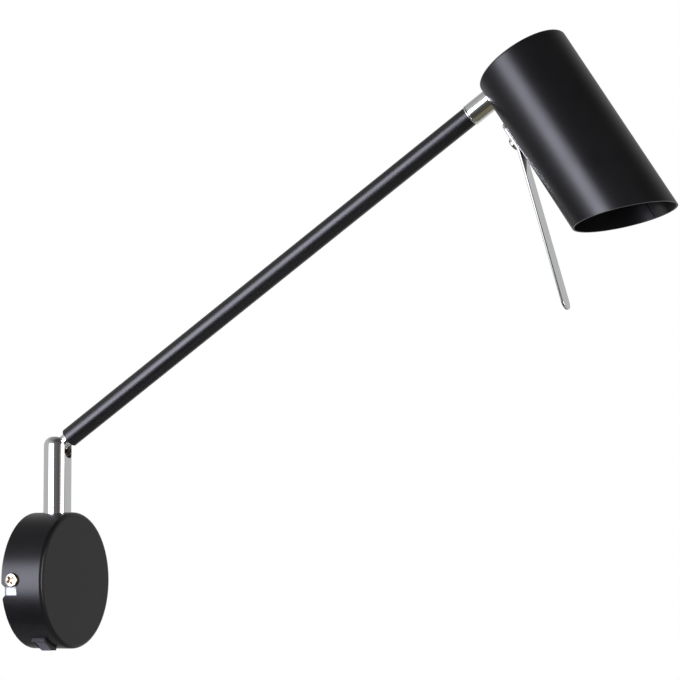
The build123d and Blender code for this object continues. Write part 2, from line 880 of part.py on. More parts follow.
def lampholder_shell():
    """Brass thread sleeve for the lamp cap."""
    outer = lamp_thread_radius + holder_shell_wall
    end = holder_carrier_face + holder_shell_length
    return shade_frame * ring(outer, lamp_thread_radius, holder_carrier_face, end)


def lampholder_contact():
    """Domed centre contact in a recess of the core."""
    dome = rounded_rod(
        holder_contact_diameter / 2,
        holder_contact_seat,
        holder_carrier_face,
        holder_contact_height / 2,
    )
    return shade_frame * dome


def lampholder_skirt():
    """Moulded skirt that screws into the cap and shields the lamp cap."""
    skirt_radius = holder_skirt_diameter / 2
    skirt = turned(
        (holder_bore_radius, holder_neck_start),
        (holder_cap_bore - fit_clearance, holder_neck_start),
        (holder_cap_bore - fit_clearance, holder_cap_end),
        (skirt_radius, holder_cap_end),
        (skirt_radius, holder_skirt_end),
        (holder_bore_radius, holder_skirt_end),
    )
    skirt = fillet(skirt.edges().group_by(Axis.Z)[-1], holder_skirt_edge)
    return shade_frame * skirt


def lead_in_shade():
    """Flex from the nipple round into the lampholder."""
    start = arm_lead_end + running_clearance - reach
    points = [
        shade_frame.from_local_coords(Vector(*place))
        for place in ((start, 0, 0), (0, 0, 0), (0, 0, holder_carrier_start))
    ]
    return lead(points, lead_radius, lead_bend_radius)


def core_start(side):
    """Top of a single core, on the end of the post's flex."""
    return Vector(post_offset, side * core_spread, lead_low)


def terminal_entry(pole):
    """Point on the upper face of the terminal block where a core meets its clamp."""
    frame = terminal_frame() * Pos(terminal_places()[pole], terminal_block_height / 2, terminal_clamp_height)
    return frame.position


def blade_tip(side):
    """End of one of the switch's blades."""
    return switch_frame.from_local_coords(
        Vector(0, side * blade_spacing / 2, -switch_body_depth - blade_length)
    )


def neutral_lead():
    """Core from the post to the first pole of the terminal block."""
    end = terminal_entry(0)
    top = core_start(1)
    return lead(
        [
            top,
            (top.X, top.Y, lead_low - bracket_flange_height),
            (end.X, end.Y, end.Z + bracket_flange_height / 2),
            end,
        ],
        core_diameter / 2,
        core_bend_radius,
    )


def switched_lead():
    """Core from the post to the nearer blade of the switch."""
    end = blade_tip(1)
    top = core_start(-1)
    approach = end - switch_normal * core_bend_radius * 2
    return lead(
        [top, (top.X, top.Y, lead_low - bracket_flange_height), approach, end],
        core_diameter / 2,
        core_bend_radius,
    )


def live_lead():
    """Core from the far blade of the switch to the second pole of the terminal block."""
    start = blade_tip(-1)
    end = terminal_entry(1)
    rise_point = start - switch_normal * core_bend_radius * 2
    return lead(
        [start, rise_point, (end.X, end.Y, end.Z + core_bend_radius * 2), end],
        core_diameter / 2,
        core_bend_radius,
    )


pieces = (
    canopy_cup,
    wall_plate,
    canopy_screws,
    earth_screw,
    terminal_block,
    terminal_clamps,
    terminal_screws,
    switch_housing,
    switch_terminals,
    switch_rocker,
    swivel_bracket,
    thrust_washer,
    post_sleeve,
    post_spigot,
    post_washer,
    post_nut,
    ball_follower,
    disc_springs,
    lead_in_post,
    ball_knuckle,
    arm_tube,
    arm_end_plug,
    swivel_ring,
    swivel_nipple,
    nipple_washer,
    nipple_nut,
    lead_in_arm,
    swivel_sleeve,
    shade_cup,
    handle_strip,
    handle_screw,
    handle_nut,
    lampholder_bracket,
    lampholder_cap,
    lampholder_nut,
    lampholder_carrier,
    lampholder_shell,
    lampholder_contact,
    lampholder_skirt,
    lead_in_shade,
    neutral_lead,
    switched_lead,
    live_lead,
)

os.makedirs("parts", exist_ok=True)
for piece in pieces:
    export_step(piece(), f"parts/{piece.__name__}.step")
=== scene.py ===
import json
import math

import bmesh
import bpy
from mathutils import Matrix, Vector


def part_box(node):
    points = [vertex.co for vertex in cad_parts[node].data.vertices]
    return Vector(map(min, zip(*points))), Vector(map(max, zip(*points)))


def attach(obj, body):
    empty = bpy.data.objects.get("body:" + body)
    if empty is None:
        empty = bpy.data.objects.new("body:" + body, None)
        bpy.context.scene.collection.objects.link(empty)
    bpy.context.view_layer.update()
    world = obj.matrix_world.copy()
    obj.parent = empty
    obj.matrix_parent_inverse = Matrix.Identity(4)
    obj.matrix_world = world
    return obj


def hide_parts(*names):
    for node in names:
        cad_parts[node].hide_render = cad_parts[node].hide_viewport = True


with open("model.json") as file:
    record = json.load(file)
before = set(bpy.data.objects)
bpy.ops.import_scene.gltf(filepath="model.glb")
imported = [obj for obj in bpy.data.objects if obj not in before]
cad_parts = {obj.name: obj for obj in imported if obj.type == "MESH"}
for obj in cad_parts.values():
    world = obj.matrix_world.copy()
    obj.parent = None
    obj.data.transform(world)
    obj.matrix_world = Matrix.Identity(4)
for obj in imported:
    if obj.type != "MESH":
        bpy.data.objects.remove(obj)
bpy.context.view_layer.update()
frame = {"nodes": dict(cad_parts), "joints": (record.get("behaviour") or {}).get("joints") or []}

# Studio. A camera a little below the arm, two soft boxes on its side of the lamp and a pale floor far below.
# The backdrop is plain white to the eye; in the plating it is a pale grey sweep, dimmer overhead. The spill
# round the soft boxes, the unlit room behind the camera and the shaded floor only show in reflections.

scene = bpy.context.scene
scene.view_settings.view_transform = "Standard"


def place(thing, name):
    """Links new data to the scene as an object at the origin."""
    made = bpy.data.objects.new(name, thing)
    scene.collection.objects.link(made)
    return made


lens = bpy.data.cameras.new("view")
lens.sensor_width = 36.0
lens.lens = 155.92
lens.clip_start = 0.05
lens.clip_end = 50.0
camera = place(lens, "view")
camera.location = (0.93998, -1.56381, -0.00525)
aimed_at = Vector((0.20841, -0.00594, 0.14025))
camera.rotation_mode = "QUATERNION"
camera.rotation_quaternion = (aimed_at - camera.location).to_track_quat("-Z", "Y")
scene.camera = camera


def linear(code):
    """An sRGB hex colour as linear RGBA."""
    parts = [int(code[i:i + 2], 16) / 255 for i in (1, 3, 5)]
    return tuple(c / 12.92 if c <= 0.04045 else ((c + 0.055) / 1.055) ** 2.4 for c in parts) + (1.0,)


def add(tree, kind, settings=None, links=None):
    """Adds a node with its settings (properties or socket values) and the links into it."""
    made = tree.nodes.new(kind)
    for key, value in (settings or {}).items():
        if isinstance(key, str) and hasattr(made, key):
            setattr(made, key, value)
        else:
            made.inputs[key].default_value = value
    for key, source in (links or {}).items():
        tree.links.new(source, made.inputs[key])
    return made


def towards(azimuth, elevation):
    """Unit direction; azimuth 0 faces the lamp's near side and 90 the front of the canopy."""
    a, e = math.radians(azimuth), math.radians(elevation)
    return Vector((math.sin(a) * math.cos(e), -math.cos(a) * math.cos(e), math.sin(e)))


white = linear("#ffffff")
room = bpy.data.worlds.new("room")
room.use_nodes = True
tree = room.node_tree
tree.nodes.clear()
path = add(tree, "ShaderNodeLightPath")
way = add(tree, "ShaderNodeTexCoord")
dim_patch = add(tree, "ShaderNodeVectorMath", {"operation": "DOT_PRODUCT", 1: towards(55, 50)},
                {0: way.outputs["Generated"]})
sweep = add(tree, "ShaderNodeMapRange",
            {"interpolation_type": "SMOOTHSTEP", "From Min": 0.42, "From Max": 0.90,
             "To Min": 0.51, "To Max": 0.12},
            {"Value": dim_patch.outputs["Value"]})
height = add(tree, "ShaderNodeSeparateXYZ", {}, {0: way.outputs["Generated"]})
ceiling = add(tree, "ShaderNodeMapRange",
              {"interpolation_type": "SMOOTHSTEP", "From Min": 0.45, "From Max": 0.85,
               "To Min": 1.0, "To Max": 0.5},
              {"Value": height.outputs["Z"]})
dimmed = add(tree, "ShaderNodeMath", {"operation": "MULTIPLY"}, {0: sweep.outputs[0], 1: ceiling.outputs[0]})
mirrored = add(tree, "ShaderNodeMath", {"operation": "MAXIMUM"},
               {0: path.outputs["Is Glossy Ray"], 1: path.outputs["Is Transmission Ray"]})
fill = add(tree, "ShaderNodeMix", {"data_type": "FLOAT", "A": 0.12},
           {"Factor": mirrored.outputs[0], "B": dimmed.outputs[0]})
level = add(tree, "ShaderNodeMix", {"data_type": "FLOAT", "B": 1.0},
            {"Factor": path.outputs["Is Camera Ray"], "A": fill.outputs[0]})
backdrop = add(tree, "ShaderNodeBackground", {"Color": white}, {"Strength": level.outputs[0]})
add(tree, "ShaderNodeOutputWorld", links={"Surface": backdrop.outputs[0]})
scene.world = room

lit_middle = Vector((0.20, 0.0, 0.13))
box_distance = 1.7


def soft_box(name, azimuth, elevation, width, tall, radiance, tint, lights=True):
    """A rectangular light aimed at the lamp's middle; one that lights nothing only shows in reflections."""
    light = bpy.data.lights.new(name, "AREA")
    light.shape = "RECTANGLE"
    light.size = width
    light.size_y = tall
    light.energy = math.pi * width * tall * radiance
    light.color = linear(tint)[:3]
    out = towards(azimuth, elevation)
    made = place(light, name)
    made.location = lit_middle + out * box_distance
    made.rotation_mode = "QUATERNION"
    made.rotation_quaternion = (-out).to_track_quat("-Z", "Y")
    made.visible_camera = False
    made.visible_diffuse = lights


soft_box("left_box", -26, -2, width=0.80, tall=1.26, radiance=10.0, tint="#ebebff")
soft_box("left_spill", -28, -2, width=1.60, tall=1.40, radiance=1.5, tint="#f4f4ff", lights=False)
soft_box("right_box", 69, 2, width=0.40, tall=1.10, radiance=11.0, tint="#fffcf7")
soft_box("right_spill", 69, 2, width=0.85, tall=1.30, radiance=1.5, tint="#fffcf7", lights=False)

# A Mix node's colour sockets share their names with its other sockets, so they go by number.
colour_a, colour_b, mixed = 6, 7, 2


def bare_finish(name):
    """A new material, its node tree and the socket that gives a point's place on the object."""
    made = bpy.data.materials.new(name)
    made.use_nodes = True
    made.node_tree.nodes.clear()
    coordinates = add(made.node_tree, "ShaderNodeTexCoord")
    return made, made.node_tree, coordinates.outputs["Object"]


def card(name, corners, left, right):
    """A flat card that only reflections see, changing colour from left to right."""
    mesh = bpy.data.meshes.new(name)
    mesh.from_pydata(corners, [], [(0, 1, 2, 3)])
    made = place(mesh, name)
    finish, tree, spot = bare_finish(name)
    parts = add(tree, "ShaderNodeSeparateXYZ", {}, {0: spot})
    across = add(tree, "ShaderNodeMapRange", {"From Min": 0.3, "From Max": 1.0},
                 {"Value": parts.outputs["X"]})
    tone = add(tree, "ShaderNodeMix", {"data_type": "RGBA", colour_a: linear(left), colour_b: linear(right)},
               {"Factor": across.outputs[0]})
    glow = add(tree, "ShaderNodeEmission", {"Strength": 1.0}, {"Color": tone.outputs[mixed]})
    add(tree, "ShaderNodeOutputMaterial", links={"Surface": glow.outputs[0]})
    mesh.materials.append(finish)
    made.visible_camera = made.visible_diffuse = made.visible_shadow = made.visible_transmission = False


floor_level = -0.55
floor_radius = 4.0
floor_corners = 64


def on_floor(left, right, near, far):
    """Corners of a rectangle that lies just over the floor."""
    z = floor_level + 0.01
    return [(left, near, z), (right, near, z), (right, far, z), (left, far, z)]


card("dark_room", [(-0.05, -1.75, -1.2), (1.35, -1.25, -1.2), (1.35, -1.25, 1.6), (-0.05, -1.75, 1.6)],
     "#676b6a", "#5b5051")
card("dark_floor", on_floor(-0.6, 1.6, -2.2, -0.35), "#4b4840", "#4b4840")
card("dark_corner", on_floor(-1.4, 0.1, -0.35, -0.12), "#34322f", "#34322f")
card("warm_floor", on_floor(0.5, 1.0, -0.35, 0.6), "#726e5c", "#726e5c")

floor_mesh = bpy.data.meshes.new("floor")
rim = []
for k in range(floor_corners):
    turn = 2 * math.pi * k / floor_corners
    rim.append((floor_radius * math.cos(turn) + lit_middle.x, floor_radius * math.sin(turn), floor_level))
floor_mesh.from_pydata(rim, [], [tuple(range(floor_corners))])
floor = place(floor_mesh, "floor")

# Paper: matt and pale, white to the eye, with a painted glow at its far side that only reflections see.
paper, tree, spot = bare_finish("pale paper")
path = add(tree, "ShaderNodeLightPath")
parts = add(tree, "ShaderNodeSeparateXYZ", {}, {0: spot})
far_glow = add(tree, "ShaderNodeMapRange", {"From Min": 0.6, "From Max": 1.2, "To Min": 0.0, "To Max": 0.5},
               {"Value": parts.outputs["Y"]})
mirrored = add(tree, "ShaderNodeMath", {"operation": "MULTIPLY"},
               {0: path.outputs["Is Glossy Ray"], 1: far_glow.outputs[0]})
lift = add(tree, "ShaderNodeMath", {"operation": "MULTIPLY_ADD", 1: 0.8},
           {0: path.outputs["Is Camera Ray"], 2: mirrored.outputs[0]})
glow = add(tree, "ShaderNodeEmission", {"Color": white}, {"Strength": lift.outputs[0]})
matt = add(tree, "ShaderNodeBsdfDiffuse", {"Color": linear("#d2d0cb")})
both = add(tree, "ShaderNodeAddShader", links={0: glow.outputs[0], 1: matt.outputs[0]})
add(tree, "ShaderNodeOutputMaterial", links={"Surface": both.outputs[0]})
floor_mesh.materials.append(paper)

# Wall plate. A strap of 1.5 mm cold-rolled steel with its ends folded up into the tabs that take the
# canopy screws. Blanked, folded and zinc plated in a barrel; two wall screws hold it through its slots.

mm = 0.001

# Zinc on cold-rolled steel: a pale blue-grey metal, half bright, with rolling streaks along the strap and
# cloudy patches where the plating is thicker. Real streaks are 0.05 mm apart; here they are drawn at 0.5 mm.
zinc, tree, spot = bare_finish("clear zinc plate on cold-rolled steel")
rolled = add(tree, "ShaderNodeMapping", {"Scale": (1.0, 0.1, 1.0)}, {"Vector": spot})
streaks = add(tree, "ShaderNodeTexNoise", {"Scale": 1 / (0.5 * mm), "Detail": 3.0},
              {"Vector": rolled.outputs[0]})
clouds = add(tree, "ShaderNodeTexNoise", {"Scale": 1 / (6 * mm), "Detail": 2.0}, {"Vector": spot})
tone = add(tree, "ShaderNodeMix",
           {"data_type": "RGBA", colour_a: linear("#8f949a"), colour_b: linear("#a6a8a7")},
           {"Factor": clouds.outputs["Fac"]})
polish = add(tree, "ShaderNodeMapRange", {"From Min": 0.3, "From Max": 0.7, "To Min": 0.48, "To Max": 0.60},
             {"Value": streaks.outputs["Fac"]})
relief = add(tree, "ShaderNodeBump", {"Strength": 0.25, "Distance": 0.01 * mm},
             {"Height": streaks.outputs["Fac"]})
metal = add(tree, "ShaderNodeBsdfPrincipled", {"Metallic": 1.0},
            {"Base Color": tone.outputs[mixed], "Roughness": polish.outputs[0], "Normal": relief.outputs[0]})
add(tree, "ShaderNodeOutputMaterial", links={"Surface": metal.outputs[0]})


def stands_for(piece, body, slot, *nodes):
    """A piece of the scene that takes the place of CAD nodes on their body."""
    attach(piece, body)
    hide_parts(*nodes)


def merged(node):
    """A CAD node's mesh, welded and rid of needless edges, to work on."""
    work = bmesh.new()
    work.from_mesh(frame["nodes"][node].data)
    bmesh.ops.remove_doubles(work, verts=work.verts, dist=0.001 * mm)
    bmesh.ops.dissolve_limit(work, angle_limit=math.radians(0.4), verts=work.verts, edges=work.edges)
    work.normal_update()
    return work


def is_sharp(edge):
    """Says whether two faces meet at an edge that a maker would break."""
    return len(edge.link_faces) == 2 and edge.calc_face_angle() > math.radians(40)


def softened(node, finish, body, slot, broken, segments=2, work=None):
    """A copy of a CAD node with its sharp edges broken, as a real blank or moulding has them."""
    work = work or merged(node)
    sharp = [edge for edge in work.edges if is_sharp(edge)]
    bmesh.ops.bevel(work, geom=sharp, offset=broken, offset_type="OFFSET", segments=segments, profile=0.5,
                    affect="EDGES", clamp_overlap=True)
    mesh = bpy.data.meshes.new(node + "_edged")
    work.to_mesh(mesh)
    work.free()
    mesh.shade_smooth()
    mesh.materials.append(finish)
    piece = place(mesh, node + "_edged")
    even = piece.modifiers.new("even", "WEIGHTED_NORMAL")
    even.keep_sharp = True
    stands_for(piece, body, slot, node)
    return piece


softened("wall_plate", zinc, "canopy", "zinc_steel", broken=0.2 * mm)

# Earth screw. A brass cheese head screw with a sawn slot, in the tapped hole beside the cable entry.
# Turned from bar, so its faces carry fine rings, and left plain for contact.

# Brass, turned and drawn: warm yellow, half bright, with brown patches where hands and flux have dulled it.
brass, tree, spot = bare_finish("plain drawn brass")
dulled = add(tree, "ShaderNodeTexNoise", {"Scale": 1 / (3 * mm), "Detail": 4.0}, {"Vector": spot})
tone = add(tree, "ShaderNodeMix",
           {"data_type": "RGBA", colour_a: linear("#c9a557"), colour_b: linear("#a98546")},
           {"Factor": dulled.outputs["Fac"]})
polish = add(tree, "ShaderNodeMapRange", {"From Min": 0.3, "From Max": 0.7, "To Min": 0.20, "To Max": 0.38},
             {"Value": dulled.outputs["Fac"]})
drawn = add(tree, "ShaderNodeTexNoise", {"Scale": 1 / (0.4 * mm), "Detail": 2.0}, {"Vector": spot})
relief = add(tree, "ShaderNodeBump", {"Strength": 0.2, "Distance": 0.01 * mm},
             {"Height": drawn.outputs["Fac"]})
metal = add(tree, "ShaderNodeBsdfPrincipled", {"Metallic": 1.0},
            {"Base Color": tone.outputs[mixed], "Roughness": polish.outputs[0], "Normal": relief.outputs[0]})
add(tree, "ShaderNodeOutputMaterial", links={"Surface": metal.outputs[0]})

usual_crease = 35


def about_z(radius, turn, height):
    """A point at a turn about the Z axis, from a radius and a height in millimetres."""
    return Vector((radius * math.cos(turn), radius * math.sin(turn), height)) * mm


def lathe(outline, steps=48, closed=False):
    """A turned shape about Z from its (radius, height) corners in millimetres."""
    work = bmesh.new()
    rings = []
    for radius, height in outline:
        ring = []
        for k in range(steps if radius > 0 else 1):
            ring.append(work.verts.new(about_z(radius, 2 * math.pi * k / steps, height)))
        rings.append(ring)
    pairs = list(zip(rings, rings[1:])) + ([(rings[-1], rings[0])] if closed else [])
    for low, high in pairs:
        for k in range(steps):
            n = k + 1
            corners = [low[k % len(low)], low[n % len(low)], high[n % len(high)], high[k % len(high)]]
            work.faces.new(list(dict.fromkeys(corners)))
    return work


def built(work, name, finish, where=Matrix(), crease=usual_crease):
    """Turns a bmesh into a smooth-shaded object in its place, with creases kept."""
    bmesh.ops.recalc_face_normals(work, faces=work.faces)
    work.transform(where)
    mesh = bpy.data.meshes.new(name)
    work.to_mesh(mesh)
    work.free()
    mesh.shade_smooth()
    mesh.set_sharp_from_angle(angle=math.radians(crease))
    mesh.materials.append(finish)
    return place(mesh, name)


def carved(piece, cutter):
    """Takes a cutter's shape out of a piece and drops the cutter; cut faces keep the cutter's finish."""
    trim = piece.modifiers.new("trim", "BOOLEAN")
    trim.operation = "DIFFERENCE"
    trim.solver = "EXACT"
    trim.material_mode = "TRANSFER"
    trim.object = cutter
    view = bpy.context.evaluated_depsgraph_get()
    mesh = bpy.data.meshes.new_from_object(piece.evaluated_get(view))
    piece.modifiers.remove(trim)
    uncut = piece.data
    piece.data = mesh
    bpy.data.meshes.remove(uncut)
    bpy.data.objects.remove(cutter)
    mesh.set_sharp_from_angle(angle=math.radians(usual_crease))
    return piece


def seat(origin, x_way, z_way):
    """Matrix that puts a piece made about the origin, in millimetres, where it belongs."""
    z = Vector(z_way).normalized()
    x = (Vector(x_way) - z * z.dot(Vector(x_way))).normalized()
    made = Matrix((x, z.cross(x), z)).transposed().to_4x4()
    made.translation = Vector(origin) * mm
    return made


def prism(low, high):
    """A closed body between two outlines of (x, y, z) corners in millimetres."""
    work = bmesh.new()
    under = [work.verts.new(Vector(corner) * mm) for corner in low]
    over = [work.verts.new(Vector(corner) * mm) for corner in high]
    count = len(under)
    work.faces.new(under[::-1])
    work.faces.new(over)
    for k in range(count):
        n = (k + 1) % count
        work.faces.new((under[k], under[n], over[n], over[k]))
    return work


def saw(width, length, depth, top, finish):
    """A bar that saws the slot in a screw head."""
    x, y = length / 2, width / 2
    flat = [(-x, -y), (x, -y), (x, y), (-x, y)]
    bar = prism([corner + (top - depth,) for corner in flat], [corner + (top + 1,) for corner in flat])
    return built(bar, "saw", finish)


earth_place = (1.5, -11.0, 0.0)
earth_head = 2.6
cheese_head = [(0, earth_head), (3.2, earth_head), (3.7, 2.45), (4.0, 2.0), (4.0, 0.2), (3.8, 0)]
earth_shank = [(2.0, 0), (2.0, -1.5), (0, -1.5)]
earth = built(lathe(cheese_head + earth_shank), "earth_screw_slotted", brass)
carved(earth, saw(width=1.0, length=9.0, depth=1.2, top=earth_head, finish=brass))
earth.data.transform(seat(earth_place, (0, 0.8, 0.6), (1, 0, 0)))
stands_for(earth, "canopy", "yellow_brass", "earth_screw")

# Terminal block. A natural nylon moulding with three brass clamp tubes, clipped to the plate's lug.
# Each pole has two slotted grub screws down their wells, left at whatever turn they were tightened to.

# Natural nylon: milky, a little translucent, with a soft sheen and faint flow clouds from the mould.
nylon, tree, spot = bare_finish("natural nylon moulding")
flow = add(tree, "ShaderNodeTexNoise", {"Scale": 1 / (5 * mm), "Detail": 2.0}, {"Vector": spot})
tone = add(tree, "ShaderNodeMix",
           {"data_type": "RGBA", colour_a: linear("#e6e1d3"), colour_b: linear("#dad3c0")},
           {"Factor": flow.outputs["Fac"]})
grit = add(tree, "ShaderNodeTexNoise", {"Scale": 1 / (0.4 * mm)}, {"Vector": spot})
relief = add(tree, "ShaderNodeBump", {"Strength": 0.15, "Distance": 0.02 * mm},
             {"Height": grit.outputs["Fac"]})
resin = add(tree, "ShaderNodeBsdfPrincipled",
            {"Roughness": 0.42, "IOR": 1.53, "Subsurface Weight": 0.25,
             "Subsurface Radius": (1.5 * mm, 1.3 * mm, 1.0 * mm), "Subsurface Scale": 1.0},
            {"Base Color": tone.outputs[mixed], "Normal": relief.outputs[0]})
add(tree, "ShaderNodeOutputMaterial", links={"Surface": resin.outputs[0]})


def dress(finish, *names):
    """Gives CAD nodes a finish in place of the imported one."""
    for name in names:
        slots = frame["nodes"][name].data.materials
        slots.clear()
        slots.append(finish)


softened("terminal_block", nylon, "canopy", "natural_nylon", broken=0.2 * mm)
dress(brass, "terminal_clamps")


def geometry_tree(name, inputs, output):
    """A new, empty geometry tree with its named inputs and output."""
    made = bpy.data.node_groups.new(name, "GeometryNodeTree")
    for label, kind in inputs.items():
        made.interface.new_socket(name=label, in_out="INPUT", socket_type="NodeSocket" + kind)
    made.interface.new_socket(name=output, in_out="OUTPUT", socket_type="NodeSocketGeometry")
    return made


def grown(tree, name, values):
    """Runs a geometry tree on an empty mesh and keeps what it makes as a piece with a plain mesh."""
    seed = place(bpy.data.meshes.new(name), name)
    grow = seed.modifiers.new("grow", "NODES")
    grow.node_group = tree
    for socket in tree.interface.items_tree:
        if socket.in_out == "INPUT" and socket.name in values:
            grow[socket.identifier] = values[socket.name]
    view = bpy.context.evaluated_depsgraph_get()
    mesh = bpy.data.meshes.new_from_object(seed.evaluated_get(view))
    bpy.data.objects.remove(seed)
    return place(mesh, name)


grub_length = 2.9
grub_outline = [(0, grub_length), (1.2, grub_length), (1.5, 2.6), (1.5, 0.3), (1.2, 0), (0, 0)]
grub_form = built(lathe(grub_outline, 24), "grub_form", zinc)
carved(grub_form, saw(width=0.5, length=4.0, depth=0.8, top=grub_length, finish=zinc))

grub_rows = geometry_tree("grub screws in their wells",
                          {"Form": "Object", "Pole pitch": "Float", "Row gap": "Float"}, "Screws")
given = add(grub_rows, "NodeGroupInput")
span = add(grub_rows, "ShaderNodeMath", {"operation": "MULTIPLY", 1: 2.0}, {0: given.outputs["Pole pitch"]})
wells = add(grub_rows, "GeometryNodeMeshGrid", {"Vertices X": 3, "Vertices Y": 2},
            {"Size X": span.outputs[0], "Size Y": given.outputs["Row gap"]})
form = add(grub_rows, "GeometryNodeObjectInfo", links={"Object": given.outputs["Form"]})
turn = add(grub_rows, "FunctionNodeRandomValue",
           {"data_type": "FLOAT_VECTOR", 0: (0.0, 0.0, 0.0), 1: (0.0, 0.0, 3.1), "Seed": 4})
stand = add(grub_rows, "GeometryNodeInstanceOnPoints", {},
            {"Points": wells.outputs["Mesh"], "Instance": form.outputs["Geometry"],
             "Rotation": turn.outputs[0]})
solid = add(grub_rows, "GeometryNodeRealizeInstances", links={"Geometry": stand.outputs[0]})
coated = add(grub_rows, "GeometryNodeSetMaterial", {"Material": zinc}, {"Geometry": solid.outputs[0]})
add(grub_rows, "NodeGroupOutput", links={0: coated.outputs[0]})
grubs = grown(grub_rows, "grub_screws", {"Form": grub_form, "Pole pitch": 7 * mm, "Row gap": 8 * mm})
low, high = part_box("terminal_screws")
grub_place = Vector((low.x, (low.y + high.y) / 2, (low.z + high.z) / 2)) / mm
grubs.data.transform(seat(grub_place, (0, 1, 0), (1, 0, 0)))
stands_for(grubs, "canopy", "zinc_steel", "terminal_screws")
bpy.data.objects.remove(grub_form)

# Single cores. Blue and brown insulated wires between the post's flex, the switch and the terminal block.
# Soft extruded vinyl, bent by hand when the lamp was wired.

# Extruded vinyl: even colour with a waxy gloss, scuffed duller here and there.
cores = []
for name, light, dark in (("blue vinyl insulation", "#2d62ad", "#274f90"),
                          ("brown vinyl insulation", "#70462b", "#583521")):
    finish, tree, spot = bare_finish(name)
    scuff = add(tree, "ShaderNodeTexNoise", {"Scale": 1 / (2 * mm), "Detail": 3.0}, {"Vector": spot})
    tone = add(tree, "ShaderNodeMix", {"data_type": "RGBA", colour_a: linear(light), colour_b: linear(dark)},
               {"Factor": scuff.outputs["Fac"]})
    gloss = add(tree, "ShaderNodeMapRange", {"To Min": 0.28, "To Max": 0.5}, {"Value": scuff.outputs["Fac"]})
    vinyl = add(tree, "ShaderNodeBsdfPrincipled", {"IOR": 1.53},
                {"Base Color": tone.outputs[mixed], "Roughness": gloss.outputs[0]})
    add(tree, "ShaderNodeOutputMaterial", links={"Surface": vinyl.outputs[0]})
    cores.append(finish)
blue_core, brown_core = cores

dress(blue_core, "neutral_lead")
dress(brown_core, "switched_lead", "live_lead")

# Rocker switch. A black glass-filled nylon body pressed into the rim, with a rocker on two moulded pins
# and brass blade terminals behind. The mould's spark-eroded texture leaves it evenly matt.

# Black nylon: deep grey-black, matt from a fine grain in the mould (0.15 mm, drawn at 0.35 mm). The
# rocker's nylon is painted a lighter blue-grey, a painted highlight for the light its near face catches.
mouldings = []
for name, dark, light in (("grained black nylon", "#17171a", "#1e1e21"),
                          ("black nylon with a painted highlight", "#5a5a61", "#66666e")):
    finish, tree, spot = bare_finish(name)
    grain = add(tree, "ShaderNodeTexNoise", {"Scale": 1 / (0.35 * mm), "Detail": 2.0}, {"Vector": spot})
    wear = add(tree, "ShaderNodeTexNoise", {"Scale": 1 / (4 * mm)}, {"Vector": spot})
    tone = add(tree, "ShaderNodeMix", {"data_type": "RGBA", colour_a: linear(dark), colour_b: linear(light)},
               {"Factor": wear.outputs["Fac"]})
    gloss = add(tree, "ShaderNodeMapRange", {"To Min": 0.36, "To Max": 0.46}, {"Value": wear.outputs["Fac"]})
    relief = add(tree, "ShaderNodeBump", {"Strength": 0.3, "Distance": 0.015 * mm},
                 {"Height": grain.outputs["Fac"]})
    resin = add(tree, "ShaderNodeBsdfPrincipled", {"IOR": 1.53},
                {"Base Color": tone.outputs[mixed], "Roughness": gloss.outputs[0],
                 "Normal": relief.outputs[0]})
    add(tree, "ShaderNodeOutputMaterial", links={"Surface": resin.outputs[0]})
    mouldings.append(finish)
grained_nylon, painted_highlight_nylon = mouldings

softened("switch_housing", grained_nylon, "canopy", "black_moulding", broken=0.15 * mm)
# The rocker takes the lighter nylon: a painted highlight where its near face catches the light.
softened("switch_rocker", painted_highlight_nylon, "rocker", "black_moulding", broken=0.35 * mm)
dress(brass, "switch_terminals")

# Canopy. A cup drawn from 1 mm steel sheet, pierced for the post, the switch and the hooked screw slots.
# Its satin black powder coat is sprayed and baked on, inside and out.

# Satin black powder coat: near black with a soft sheen, and a faint orange peel about 1.5 mm across
# from the powder flowing out in the oven. The tube of the arm came out of it a little glossier, and the
# closed top of the shade, where the powder lies thin and dry, stays matt.
coats = []
for name, low, high, shine in (("satin black powder coat", 0.31, 0.35, 0.36),
                               ("glossier black powder coat", 0.32, 0.36, 0.50),
                               ("matt black powder coat", 0.92, 0.98, 0.36)):
    finish, tree, spot = bare_finish(name)
    peel = add(tree, "ShaderNodeTexNoise", {"Scale": 1 / (1.5 * mm), "Detail": 1.0}, {"Vector": spot})
    drift = add(tree, "ShaderNodeTexNoise", {"Scale": 1 / (20 * mm), "Detail": 1.0}, {"Vector": spot})
    tone = add(tree, "ShaderNodeMix",
               {"data_type": "RGBA", colour_a: linear("#101012"), colour_b: linear("#141416")},
               {"Factor": drift.outputs["Fac"]})
    gloss = add(tree, "ShaderNodeMapRange", {"From Min": 0.3, "From Max": 0.7, "To Min": low, "To Max": high},
                {"Value": drift.outputs["Fac"]})
    relief = add(tree, "ShaderNodeBump", {"Strength": 0.06, "Distance": 0.02 * mm},
                 {"Height": peel.outputs["Fac"]})
    coat = add(tree, "ShaderNodeBsdfPrincipled", {"IOR": 1.5, "Specular IOR Level": shine},
               {"Base Color": tone.outputs[mixed], "Roughness": gloss.outputs[0],
                "Normal": relief.outputs[0]})
    add(tree, "ShaderNodeOutputMaterial", links={"Surface": coat.outputs[0]})
    coats.append(finish)
powder, tube_coat, top_coat = coats

dress(powder, "canopy_cup")

# Canopy screws. Two nickel-plated pan head screws with cross recesses, in the tapped tabs of the plate.
# Cold headed and thread rolled; the canopy's hooked slots slip under their heads.

